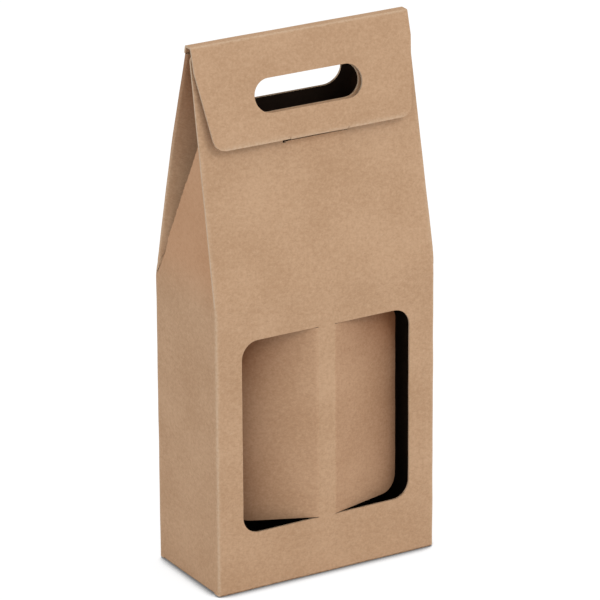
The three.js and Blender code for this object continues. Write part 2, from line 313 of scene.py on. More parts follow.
def folded(path, origin, run, e1, e2, by_v):
    """Placing function of a board that follows a path in the plane of e1 and e2, and is straight along run"""
    def place(u, v):
        t, straight = (v, u) if by_v else (u, v)
        spot, face, bend = path.at(t)
        points = origin + np.outer(straight, run) + np.outer(spot[:, 0], e1) + np.outer(spot[:, 1], e2)
        normals = np.outer(face[:, 0], e1) + np.outer(face[:, 1], e2)
        return points, normals, bend
    return place


def turned(vectors, angle):
    """Vectors of a plane, each turned by its own angle"""
    c, s = np.cos(angle), np.sin(angle)
    return np.column_stack([vectors[:, 0] * c - vectors[:, 1] * s, vectors[:, 0] * s + vectors[:, 1] * c])


def mirrored(place):
    def other(u, v):
        points, normals, bend = place(-u, v)
        return points * (-1, 1, 1), normals * (-1, 1, 1), bend
    return other


def other_side(loop, place, bends, ends):
    """Outline, placing, bends and crease ends of the same panel on the other side of the box"""
    turned_bends = [(-mark, reach) for mark, reach in bends]
    return flipped(loop), mirrored(place), turned_bends, [(-u, v) for u, v in ends]


# Meshing a flat outline on a grid
def grid_lines(low, high, step, bends=()):
    count = max(1, round((high - low) / step))
    lines = list(np.linspace(low, high, count + 1))
    for mark, reach in bends:
        fine = np.linspace(mark - reach, mark + reach, BEND_STEPS + 1)
        spare = (fine[1] - fine[0]) / 2
        lines = [line for line in lines if abs(line - mark) > reach + spare]
        lines += [line for line in fine if low < line < high]
    return np.array(sorted(lines))


def split_loop(loop, columns, rows):
    """The loop with more points, where its edges cross the grid lines"""
    points = []
    for a, b in zip(loop, loop[1:] + loop[:1]):
        a, b = np.array(a), np.array(b)
        length = np.linalg.norm(b - a)
        cuts = [0.0]
        for axis, lines in ((0, columns), (1, rows)):
            if abs(b[axis] - a[axis]) > 1e-6:
                shares = (lines - a[axis]) / (b[axis] - a[axis])
                cuts += [share for share in shares if SAME_SPOT < share * length < length - SAME_SPOT]
        last = -1
        for share in sorted(cuts):
            if (share - last) * length > SAME_SPOT:
                points.append(a + (b - a) * share)
                last = share
    return points


def inside(points, loops):
    """Which points lie inside the outline and outside its holes"""
    hit = np.zeros(len(points), bool)
    across, up = points[:, 0], points[:, 1]
    for loop in loops:
        for a, b in zip(loop, loop[1:] + loop[:1]):
            if a[1] == b[1]:
                continue
            crosses = (a[1] > up) != (b[1] > up)
            hit ^= crosses & (across < a[0] + (up - a[1]) * (b[0] - a[0]) / (b[1] - a[1]))
    return hit


def edge_distance(points, loops):
    nearest = np.full(len(points), np.inf)
    for loop in loops:
        for a, b in zip(loop, loop[1:] + loop[:1]):
            a, leg = np.array(a), np.subtract(b, a)
            share = np.clip((points - a) @ leg / max(leg @ leg, 1e-12), 0, 1)
            nearest = np.minimum(nearest, np.linalg.norm(points - a - share[:, None] * leg, axis=1))
    return nearest


def triangulate(loops, columns, rows):
    corners, edges = [], []
    for loop in loops:
        ring = split_loop(loop, columns, rows)
        first = len(corners)
        corners += ring
        edges += [(first + i, first + (i + 1) % len(ring)) for i in range(len(ring))]
    grid = np.array(np.meshgrid(columns, rows)).reshape(2, -1).T
    grid = grid[inside(grid, loops)]
    grid = grid[edge_distance(grid, loops) > EDGE_ROOM]
    spots = [Vector(spot) for spot in corners] + [Vector(spot) for spot in grid]
    result = geometry.delaunay_2d_cdt(spots, edges, [], 1, 1e-6)
    flat = np.array([tuple(spot) for spot in result[0]])
    faces = np.array([face for face in result[2] if len(face) == 3])
    faces = faces[inside(flat[faces].mean(axis=1), loops)]
    a, b, c = (flat[faces[:, i]] for i in range(3))
    area = (b[:, 0] - a[:, 0]) * (c[:, 1] - a[:, 1]) - (b[:, 1] - a[:, 1]) * (c[:, 0] - a[:, 0])
    faces[area < 0] = faces[area < 0][:, ::-1]
    used, faces = np.unique(faces, return_inverse=True)
    return flat[used], faces.reshape(-1, 3)


def rim_edges(faces):
    """Directed edges that only one triangle has"""
    sides = np.concatenate([faces[:, [0, 1]], faces[:, [1, 2]], faces[:, [2, 0]]])
    seen = {tuple(side) for side in sides.tolist()}
    return np.array([side for side in seen if (side[1], side[0]) not in seen])


def steep_rim(flat, faces):
    """Which points lie on cut edges that run along the flutes, where the knife crushes the board shut"""
    rim = rim_edges(faces)
    run = np.abs(flat[rim[:, 1]] - flat[rim[:, 0]])
    steep = rim[run[:, 1] > run[:, 0]]
    marked = np.zeros(len(flat), bool)
    marked[steep.ravel()] = True
    return marked


def wave(u, v):
    """Slight unevenness of the board, always inwards, in the blank's own coordinates"""
    turn = 2 * math.pi / WAVE_LENGTH
    ripple = np.sin(turn * u + 1.3 * np.sin(turn * v * 0.6)) * np.cos(turn * 0.7 * v + 0.8)
    return WAVE_HEIGHT * (ripple + 0.5 * np.sin(turn * 1.9 * v + 2.1) - 1.5)


OUTSIDE, INSIDE, CUT, FLUTE = range(4)


class Board:
    """Corrugated board of one outline: two liners and the fluted medium between them"""

    def __init__(self, place, blank, painted_shade_of, outside, hidden):
        self.place = place
        self.outside = outside
        self.hidden = hidden
        self.blank = np.array(blank)
        self.painted_shade_of = painted_shade_of
        self.count = 0
        self.points, self.flat, self.bend, self.deep = [], [], [], []
        self.faces, self.looks = [], []

    def shell(self, flat, faces, near, far, looks):
        points, normals, bend = self.place(flat[:, 0], flat[:, 1])
        paper = flat + self.blank
        points = points + normals * wave(paper[:, 0], paper[:, 1])[:, None]
        size = len(flat)
        for depth in (near, far):
            depth = np.broadcast_to(depth, size)
            self.points.append(points - normals * depth[:, None])
            self.flat.append(np.column_stack([paper, depth]))
            self.bend.append(bend)
            self.deep.append(self.painted_shade_of(flat))
        rim = rim_edges(faces)
        sides = np.column_stack([rim[:, 1], rim[:, 0], rim[:, 0] + size, rim[:, 1] + size])
        top = faces + self.count
        under = faces[:, ::-1] + size + self.count
        self.faces += top.tolist() + under.tolist() + (sides + self.count).tolist()
        self.looks += [looks[0]] * len(top) + [looks[1]] * len(under)
        # Cut edges that hidden marks take the inside look, with its painted shade
        self.looks += [INSIDE if self.hidden(spot) else looks[2] for spot in flat[rim].mean(axis=1)]
        self.count += 2 * size

    def mesh(self, name):
        data = bpy.data.meshes.new(name)
        data.from_pydata((np.concatenate(self.points) * MM).tolist(), [], self.faces)
        for colour in (self.outside, inside_kraft, cut_kraft, flute_kraft):
            data.materials.append(colour)
        data.polygons.foreach_set("material_index", self.looks)
        data.polygons.foreach_set("use_smooth", [True] * len(self.faces))
        flat = data.attributes.new("flat", "FLOAT_VECTOR", "POINT")
        flat.data.foreach_set("vector", np.concatenate(self.flat).ravel())
        bend = data.attributes.new("bend", "FLOAT", "POINT")
        bend.data.foreach_set("value", np.concatenate(self.bend))
        # deep: the share of painted shade at each point
        deep = data.attributes.new("deep", "FLOAT", "POINT")
        deep.data.foreach_set("value", np.concatenate(self.deep))
        data.set_sharp_from_angle(angle=SHARP_ANGLE)
        data.update()
        return data


# Painted shade: the inner faces, and cut edges marked hidden, of these boards are nearly black
def deep_inside(flat):
    return np.full(len(flat), INSIDE_SHADE)


def in_the_open(flat):
    return np.zeros(len(flat))


def board(
    name, loops, place, bends_u=(), bends_v=(), blank=(0, 0), stands_for=(),
    depth=deep_inside, outside=None, hidden=lambda spot: False,
):
    """Object of corrugated board with this outline, put in place by a function of its flat coordinates"""
    corners = np.array(loops[0])
    low, high = corners.min(axis=0), corners.max(axis=0)
    columns = grid_lines(low[0], high[0], GRID_STEP, bends_u)
    rows = grid_lines(low[1], high[1], GRID_STEP, bends_v)
    made = Board(place, blank, depth, outside or outside_kraft, hidden)
    flat, faces = triangulate(loops, columns, rows)
    made.shell(flat, faces, 0, LINER, (OUTSIDE, FLUTE, CUT))
    made.shell(flat, faces, THICKNESS - LINER, THICKNESS, (FLUTE, INSIDE, CUT))
    columns = np.arange(low[0], high[0], FLUTE_PITCH / FLUTE_STEPS)
    flat, faces = triangulate(loops, columns, grid_lines(low[1], high[1], 3 * GRID_STEP, bends_v))
    _, _, bend = place(flat[:, 0], flat[:, 1])
    swing = (THICKNESS / 2 - LINER - MEDIUM / 2 + FLUTE_GRIP) * (1 - CREASE_CRUSH * bend)
    middle = THICKNESS / 2 + swing * np.cos(2 * math.pi * (flat[:, 0] + blank[0]) / FLUTE_PITCH)
    crushed = steep_rim(flat, faces)
    near = np.where(crushed, LINER - FLUTE_GRIP, middle - MEDIUM / 2)
    far = np.where(crushed, THICKNESS - LINER + FLUTE_GRIP, middle + MEDIUM / 2)
    made.shell(flat, faces, near, far, (FLUTE, FLUTE, CUT))
    piece = bpy.data.objects.new(name, made.mesh(name))
    bpy.context.scene.collection.objects.link(piece)
    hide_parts(*stands_for)
    return piece


def bend_between(piece, first, second, place, start, end):
    """Works out where the flat points start and end of one crease lie, then bakes the board's transform into
    its mesh
    """
    for u, v in (start, end):
        points, _, _ = place(np.array([u]), np.array([v]))
    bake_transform(piece)


# Shader nodes
def feed(tree, socket, value):
    """Links a node's output to the socket, or sets the socket's own value"""
    if isinstance(value, bpy.types.NodeSocket):
        tree.links.new(value, socket)
    else:
        socket.default_value = value


def add_node(tree, kind, inputs, **settings):
    node = tree.nodes.new(kind)
    for key, value in settings.items():
        setattr(node, key, value)
    for key, value in inputs.items():
        feed(tree, node.inputs[key], value)
    return node


def attribute(tree, name, output="Fac"):
    return add_node(tree, "ShaderNodeAttribute", {}, attribute_name=name).outputs[output]


def combine(tree, operation, first, second):
    return add_node(tree, "ShaderNodeMath", {0: first, 1: second}, operation=operation).outputs[0]


def noise(tree, paper, size, turn=0, detail=2, stretch=1):
    """Noise in the board's flat coordinates, of a grain in millimetres, stretched along one direction"""
    scale = (1 / (size * stretch), 1 / size, 1 / size)
    spot = add_node(tree, "ShaderNodeMapping", {"Vector": paper, "Rotation": (0, 0, turn)})
    spread = add_node(tree, "ShaderNodeVectorMath", {0: spot.outputs[0], 1: scale}, operation="MULTIPLY")
    grain = add_node(
        tree, "ShaderNodeTexNoise",
        {"Vector": spread.outputs[0], "Scale": 1.0, "Detail": detail, "Roughness": 0.55},
    )
    return grain.outputs["Fac"]


def remap(tree, value, low, high, to_low=0.0, to_high=1.0):
    node = add_node(
        tree, "ShaderNodeMapRange",
        {"Value": value, "From Min": low, "From Max": high, "To Min": to_low, "To Max": to_high},
        interpolation_type="SMOOTHSTEP",
    )
    return node.outputs[0]


def tint(tree, share, colour, other):
    node = add_node(tree, "ShaderNodeMix", {}, data_type="RGBA")
    sockets = [socket for socket in node.inputs if socket.enabled]
    for socket, value in zip(sockets, (share, colour, other)):
        feed(tree, socket, value)
    return next(socket for socket in node.outputs if socket.enabled)


def linear(red, green, blue):
    """Colour as seen on a screen, 0 to 255, as light values"""
    values = [channel / 255 for channel in (red, green, blue)]
    return tuple(v / 12.92 if v < 0.04045 else ((v + 0.055) / 1.055) ** 2.4 for v in values) + (1.0,)


# Kraft paper
def kraft(name, pale, deep, fibre, wear_and_painted_light, rough, relief, dark=None, top=None):
    """Kraft paper: cloudy tone, long fibres lying two ways, dark specks, another tone at creases, rubbed
    paler on most boards but painted shade on the base flaps and a painted highlight on the front slope's side
    edges; painted shade higher up when given top, and by the deep attribute when given dark colours
    """
    material = bpy.data.materials.new(name)
    material.use_nodes = True
    tree = material.node_tree
    shader = tree.nodes["Principled BSDF"]
    shader.inputs["Roughness"].default_value = rough
    shader.inputs["Specular IOR Level"].default_value = 0.2
    paper = attribute(tree, "flat", "Vector")
    cloud = noise(tree, paper, **CLOUD)
    mottle = noise(tree, paper, **MOTTLE)
    grain = noise(tree, paper, **GRAIN)
    tone = combine(tree, "ADD", combine(tree, "ADD", cloud, mottle), grain)
    light = remap(tree, tone, 1.0, 2.0)
    colour = tint(tree, light, linear(*deep), linear(*pale))
    long_fibres = noise(tree, paper, **LONG_FIBRE)
    cross_fibres = noise(tree, paper, **CROSS_FIBRE)
    specks = noise(tree, paper, **SPECK)
    colour = tint(tree, remap(tree, long_fibres, 0.56, 0.74, 0, 0.4), colour, linear(*fibre))
    colour = tint(tree, remap(tree, cross_fibres, 0.6, 0.76, 0, 0.45), colour, linear(*wear_and_painted_light))
    colour = tint(tree, remap(tree, specks, 0.7, 0.8, 0, 0.45), colour, linear(*fibre))
    # Creases take another tone: rubbed paler on most boards, painted shade on the base flaps, and a painted
    # highlight along the front slope's side edges, where the bend attribute is raised with no crease
    crease_tone_noise = noise(tree, paper, **CREASE_TONE_NOISE)
    wear_and_painted_light_mask = combine(tree, "MULTIPLY", attribute(tree, "bend"), crease_tone_noise)
    colour = tint(tree, remap(tree, wear_and_painted_light_mask, 0.1, 0.7, 0, 0.75), colour, linear(*wear_and_painted_light))
    # Painted shade: the paper turns warmer and darker higher up the gables
    if top:
        height = add_node(tree, "ShaderNodeSeparateXYZ", {0: paper}).outputs["Y"]
        colour = tint(tree, remap(tree, height, *GABLE_SHADE_RISE, 0, GABLE_SHADE_SHARE), colour, linear(*top))
    # Painted shade: the paper mixes towards its darker copy by the deep attribute
    if dark:
        shaded = tint(tree, light, linear(*dark[0]), linear(*dark[1]))
        colour = tint(tree, attribute(tree, "deep"), colour, shaded)
    tree.links.new(colour, shader.inputs["Base Color"])
    uneven = combine(tree, "ADD", long_fibres, mottle)
    bump = add_node(
        tree, "ShaderNodeBump", {"Height": uneven, "Distance": FIBRE_RELIEF * MM, "Strength": relief},
    )
    tree.links.new(bump.outputs[0], shader.inputs["Normal"])
    return material


outer_paper = {
    "pale": (206, 169, 135), "deep": (186, 148, 114), "fibre": (165, 127, 94), "rough": 0.85, "relief": 0.35,
}
outside_kraft = kraft("outside_kraft", wear_and_painted_light=(216, 188, 158), **outer_paper)
# Walls: painted shade, warmer and darker up the gables
wall_kraft = kraft("wall_kraft", wear_and_painted_light=(216, 188, 158), top=(200, 140, 98), **outer_paper)
# Base flaps: their crease tone is a dark painted shade along the bottom edges
shaded_foot_kraft = kraft("shaded_foot_kraft", wear_and_painted_light=(96, 66, 46), **outer_paper)
# Inner faces: painted shade, darkening to nearly black by the deep attribute
inside_kraft = kraft(
    "inside_kraft", pale=(200, 162, 127), deep=(186, 147, 112), fibre=(162, 124, 91),
    wear_and_painted_light=(212, 182, 150), rough=0.9, relief=0.35, dark=((36, 24, 15), (44, 30, 20)),
)
# Window flaps and gussets: painted shade, darker by the deep attribute where they lie deep in the box
recess_shaded_kraft = kraft(
    "recess_shaded_kraft", pale=(205, 166, 132), deep=(185, 145, 111), fibre=(162, 122, 89),
    wear_and_painted_light=(214, 183, 151), rough=0.87, relief=0.35, dark=((126, 78, 47), (142, 92, 59)),
)
cut_kraft = kraft(
    "cut_kraft", pale=(216, 190, 162), deep=(200, 172, 142), fibre=(176, 142, 110),
    wear_and_painted_light=(222, 198, 170), rough=0.9, relief=0.5,
)
flute_kraft = kraft(
    "flute_kraft", pale=(176, 142, 108), deep=(156, 122, 90), fibre=(130, 98, 70),
    wear_and_painted_light=(190, 158, 124), rough=0.9, relief=0.35,
)


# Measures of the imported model
back_low, back_high = node_box("back_wall")
seam_low, seam_high = node_box("glue_flap")
THICKNESS = back_high[1] - back_low[1]
half_width = node_box("front_wall")[1][0]
half_depth = back_high[1]
rear_fold = joint_place("rear_slope_fold")
front_fold = joint_place("front_slope_fold")
ridge_rear = joint_place("ridge_fold")
ridge_front = joint_place("flap_lift")
flap_foot = joint_place("lock_tab_fold")
shoulder = rear_fold[2]
base_levels = {side: node_box(f"base_{side}_flap")[0][2] for side in ("front", "rear", "left", "right")}

# The blank: glued seam, back, left, front and right walls, one after the other
seam_face = seam_high[0]
plan = FoldPath(
    [
        (seam_face, seam_low[1]),
        (seam_face, half_depth),
        (-half_width, half_depth),
        (-half_width, -half_depth),
        (half_width, -half_depth),
        (half_width, half_depth - SEAM_GAP),
    ],
    [CORNER_RADIUS] * 4,
)


def on_back(x):
    return plan.marks[1] + seam_face - x


def on_left(y):
    return plan.marks[2] + half_depth - y


def on_front(x):
    return plan.marks[3] + half_width + x


def on_right(y):
    return plan.marks[4] + half_depth + y


# Line over the top: back wall, rear slope, ridge, closure flap and lock tab
rear_slant = np.linalg.norm(ridge_rear - rear_fold)
ridge_width = np.linalg.norm(ridge_front - ridge_rear)
flap_length = np.linalg.norm(flap_foot - ridge_front)
flap_down = (flap_foot - ridge_front) / flap_length
tab_in = np.cross(X, flap_down)
rear_turn = math.atan2(rear_fold[1] - ridge_rear[1], ridge_rear[2] - rear_fold[2])
rear_up = (ridge_rear - rear_fold) / rear_slant
rear_out = np.cross(-X, rear_up)
tab_end = flap_foot + LEG * tab_in
over_top = FoldPath(
    [(half_depth, shoulder - LEG)] + [
        (spot[1], spot[2]) for spot in (rear_fold, ridge_rear, ridge_front, flap_foot, tab_end)
    ],
    [REAR_BEND / math.tan(rear_turn / 2), RIDGE_RADIUS, RIDGE_RADIUS, TAB_RADIUS],
    zero=1,
)
ridge_mark, flap_mark, tab_mark = over_top.marks[2:5]
top_half = node_box("closure_flap")[1][0]
top_fold = folded(over_top, np.zeros(3), -X, Y, Z, by_v=True)
back_blank = (on_back(0), shoulder)

# Line up the front: front wall and front slope
front_normal = outer_normal("front_slope", -Y)
front_up = np.cross(front_normal, X)
front_turn = math.acos(front_up[2])
front_path = FoldPath(
    [
        (half_depth, shoulder - LEG),
        (half_depth, shoulder),
        (half_depth - LEG * math.sin(front_turn), shoulder + LEG * math.cos(front_turn)),
    ],
    [FRONT_BEND / math.tan(front_turn / 2)],
    zero=1,
)


def front_sag(height):
    """How far the soft bend at the shoulder draws the front in from its sharp crease"""
    above = height - shoulder
    spot, _, _ = front_path.at(above)
    return half_depth - np.maximum(0, above) * math.sin(front_turn) - spot[:, 0]


# Window flaps
def window_flap(side):
    name = "left_window_flap" if side < 0 else "right_window_flap"
    normal = outer_normal(name, -Y)
    push = math.asin(abs(normal[0]))
    hinge = abs(joint_place(name + "_fold")[0])
    fold = hinge + THICKNESS * math.tan(push / 2)
    path = FoldPath(
        [
            (half_depth, 0),
            (half_depth, fold),
            (half_depth - LEG * math.sin(push), fold + LEG * math.cos(push)),
        ],
        [WINDOW_RADIUS],
    )
    reach = path.reach(0)
    across = np.cross(Z, normal)
    loop = face_loops(name, np.array([side * fold, -half_depth, 0]), across, Z)[0]
    if side < 0:
        loop = flipped(loop)
    low = min(v for _, v in loop)
    high = max(v for _, v in loop)
    root = fold - reach
    loop = replace_run(
        shifted(loop, fold, 0), lambda spot: spot[0] < fold + CREASE_ZONE, [(root, high), (root, low)],
    )
    place = folded(path, np.zeros(3), Z, -Y, X, by_v=False)
    bends = path.bends()
    ends = [(root, (low + high) / 2), (fold + reach, (low + high) / 2)]
    width = max(u for u, _ in loop) - fold

    # Painted shade: darker towards the flap's free edge and its top, and on the right flap at its crease
    def recess_shade(flat):
        side_share = np.clip((np.abs(flat[:, 0]) - fold) / width, 0, 1)
        top_share = np.clip(1 - (high - flat[:, 1]) / WINDOW_SHADE, 0, 1)
        at_crease = np.clip((np.abs(flat[:, 0]) - root) / (2 * reach), 0, 1) * (1 - side_share)
        shade = EDGE_SHADE[side] * side_share ** 2 + CREASE_SHADE[side] * at_crease
        return np.clip(shade + TOP_SHADE * top_share * side_share ** 0.8, 0, 1)

    if side < 0:
        loop, place, bends, ends = other_side(loop, place, bends, ends)
    piece = board(
        name + "_board", [loop], place, bends_u=bends, blank=(on_front(0), 0), stands_for=[name],
        depth=recess_shade, outside=recess_shaded_kraft,
    )
    bend_between(piece, "sleeve", name, place, *ends)
    return root


strip_left = window_flap(-1)
strip_right = window_flap(1)


# Sleeve of four walls, each side wall running on into its gable
wall_top = shoulder - FRONT_BEND - BEND_ROOM
edge = half_width - CORNER_STRIP


def gable_points(name, wall, along):
    outline = face_loops(name, wall * X, along, Z)[0]
    return sorted((spot for spot in outline if spot[1] > shoulder - CREASE_ZONE), key=lambda spot: spot[1])


def base_path(wall, level):
    """Line of a base flap: from inside at its own level down to the floor, then up the wall"""
    inside_part = [(wall - LEG, level), (wall - BASE_CLIMB, level)]
    radii = [BASE_CLIMB_RADIUS, BASE_RADIUS]
    if level < FOOT:
        inside_part = [(wall - LEG, FOOT)]
        radii = [BASE_RADIUS]
    points = inside_part + [(wall, FOOT), (wall, FOOT + LEG)]
    return FoldPath(points, radii, zero=len(points) - 2)


def base_rise(wall, side):
    return FOOT + base_path(wall, base_levels[side]).reach(-1)


def base_notch(on_wall, half, rise, ends):
    """Bottom edge of a wall, cut up to the fold of its base flap; ends are the wall's limits"""
    first, last = sorted((on_wall(-half), on_wall(half)))
    foot = FOOT + CORNER_LIFT
    return [(ends[0], foot), (first, foot), (first, rise), (last, rise), (last, foot), (ends[1], foot)]


front_half = node_box("base_front_flap")[1][0]
rear_half = node_box("base_rear_flap")[1][0]
side_half = node_box("base_left_flap")[1][1]
seam_loop = face_loops("glue_flap", np.array([seam_face, 0, 0]), Y, Z)[0]
seam_free = [spot for spot in seam_loop if spot[0] < seam_low[1] + CREASE_ZONE]
seam_foot = min(v for _, v in seam_loop)
seam_head = max(v for _, v in seam_loop)
seam_fold = plan.marks[1]
left_gable = gable_points("left_wall", -half_width, -Y)
right_gable = gable_points("right_wall", half_width, Y)


def sleeve_outline():
    left_apex = left_gable[-1]
    right_apex = right_gable[-1]
    front_root = max(left_gable[:-1], key=lambda spot: spot[1])
    rear_root = min(left_gable, key=lambda spot: spot[0])
    left_front = (on_left(-front_root[0]) + GABLE_LAP, shoulder)
    left_top = (on_left(-left_apex[0]) + GABLE_LAP, left_apex[1])
    left_rear = (on_left(-rear_root[0]), rear_root[1])
    right_front = (on_right(-front_root[0]) - GABLE_LAP, shoulder)
    right_top = (on_right(right_apex[0]) - GABLE_LAP, right_apex[1])
    right_rear = (on_right(-rear_root[0]), rear_root[1])
    low_seam = min(v for _, v in seam_free)
    high_seam = max(v for _, v in seam_free)
    bottom = [(0, low_seam), (seam_fold - CORNER_STRIP, seam_foot)]
    rear_rise, front_rise = (base_rise(half_depth, side) for side in ("rear", "front"))
    left_rise, right_rise = (base_rise(half_width, side) for side in ("left", "right"))
    bottom += base_notch(on_back, rear_half, rear_rise, (seam_fold - CORNER_RADIUS, on_back(-half_width)))
    bottom += base_notch(on_left, side_half, left_rise, (on_left(half_depth), on_left(-half_depth)))
    bottom += base_notch(on_front, front_half, front_rise, (on_front(-half_width), on_front(half_width)))
    bottom += base_notch(on_right, side_half, right_rise, (on_right(-half_depth), plan.marks[5]))
    rear_top = shoulder - REAR_EDGE_GAP
    top = [(plan.marks[5], rear_top), (on_right(half_depth - REAR_EDGE_STEP), rear_top), right_rear]
    top += nicked(right_rear, right_top)
    top += [right_top, right_front, (on_front(edge), shoulder), (on_front(edge), wall_top)]
    top += [(on_front(-edge), wall_top), (on_front(-edge), shoulder), left_front, left_top]
    top += nicked(left_top, left_rear)
    top += [left_rear, (on_left(half_depth - REAR_EDGE_STEP), rear_top)]
    top += [(on_back(-edge), rear_top), (on_back(-edge), wall_top)]
    top += [(seam_fold, wall_top), (seam_fold - CORNER_RADIUS, seam_head), (0, high_seam)]
    return bottom + top


def window_holes():
    holes = []
    loops = face_loops("front_wall", np.array([0, -half_depth, 0]), X, Z)[1:]
    for loop in loops:
        side = 1 if sum(u for u, _ in loop) > 0 else -1
        root = strip_right if side > 0 else strip_left
        shape = [(side * root if abs(u) < abs(root) + CREASE_ZONE else u, v) for u, v in loop]
        holes.append(shifted(shape, on_front(0), 0))
    return holes


gable_lean = (half_width - top_half) / (ridge_rear[2] - shoulder)
sleeve_fold = folded(plan, np.zeros(3), Z, X, Y, by_v=False)


def sleeve_place(u, v):
    points, normals, bend = sleeve_fold(u, v)
    points = points - normals * (gable_lean * np.maximum(0, v - shoulder))[:, None]
    rear_share = np.clip((points[:, 1] - half_depth + GABLE_EASE_START) / GABLE_EASE, 0, 1)
    spot, _, _ = over_top.at(v - shoulder)
    points[:, 1] -= rear_share * (half_depth - spot[:, 0])
    front_share = np.clip((-points[:, 1] - half_depth + GABLE_EASE_START) / GABLE_EASE, 0, 1)
    points[:, 1] += front_share * front_sag(v)
    return points, normals, bend


sleeve = board(
    "sleeve_board", [sleeve_outline()] + window_holes(), sleeve_place, bends_u=plan.bends(),
    stands_for=["front_wall", "back_wall", "left_wall", "right_wall", "glue_flap"],
    outside=wall_kraft, hidden=lambda spot: spot[0] < seam_fold,
)
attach(sleeve, "sleeve")


# Inner faces of the slopes: painted shade, darker away from the open sides
def slope_painted_shade(flat):
    share = np.clip((half_width - np.abs(flat[:, 0])) / OPEN_REACH, 0, 1)
    return share * share * (3 - 2 * share)


# Front slope, bending softly out of the front wall
front_bend = folded(front_path, np.zeros(3), X, -Y, Z, by_v=True)


def front_place(u, v):
    points, normals, bend = front_bend(u, v)
    # Painted highlight: the front slope turns paler along its side edges, through the bend attribute
    wear_and_painted_light = EDGE_HIGHLIGHT * np.exp(-((half_width - np.abs(u)) / CORNER_STRIP) ** 2) * (v > 0)
    return points, normals, np.maximum(bend, wear_and_painted_light)


front_loops = face_loops("front_slope", front_fold, X, front_up)
below = wall_top - shoulder
front_top = max(v for _, v in front_loops[0])
front_loops[0] = [(u, v + FRONT_TOP_RISE if v > front_top - FRONT_HEAD else v) for u, v in front_loops[0]]
slit_index = min(range(1, len(front_loops)), key=lambda i: abs(loop_area(front_loops[i])))
slit_left, slit_low = np.min(front_loops[slit_index], axis=0)
slit_right, slit_high = np.max(front_loops[slit_index], axis=0)
front_loops[slit_index] = [
    (slit_left, slit_low), (slit_left + SLIT_END, slit_low), (slit_left + SLIT_END, slit_low + SLIT_RISE),
    (slit_right, slit_low + SLIT_RISE), (slit_right, slit_high), (slit_left, slit_high),
]
front_loops[0] = replace_run(
    front_loops[0], lambda spot: spot[1] < CREASE_ZONE,
    [(inset - half_width, v) for inset, v in LEFT_FOOT]
    + [(-edge, SHOULDER_GAP), (-edge, below), (edge, below), (edge, SHOULDER_GAP)]
    + [(half_width - inset, v) for inset, v in RIGHT_FOOT],
)
front = board(
    "front_slope_board", front_loops, front_place, bends_v=front_path.bends(),
    blank=(on_front(0), shoulder), stands_for=["front_slope"], depth=slope_painted_shade,
)
bend_between(front, "sleeve", "front_slope", front_place, (0, -FRONT_BEND), (0, FRONT_BEND))


# Rear slope, bowed outwards, with the ridge, closure flap and lock tab that follow it
def rear_bow(v):
    share = np.clip(np.asarray(v, float) / rear_slant, 0, 1)
    return REAR_BOW * np.sin(math.pi * share) ** 1.5


def rear_place(u, v):
    points, normals, bend = top_fold(u, v)
    return points + np.outer(rear_bow(v), rear_out), normals, bend


def rear_taper(v):
    """How much narrower half the rear slope is at a height than at the shoulder"""
    return (half_width - top_half) * np.asarray(v, float) / rear_slant


# Gussets, turned back inside the rear slope at its side edges
fold_start = half_width - GUSSET_RADIUS
rear_end = ridge_mark - RIDGE_LAP


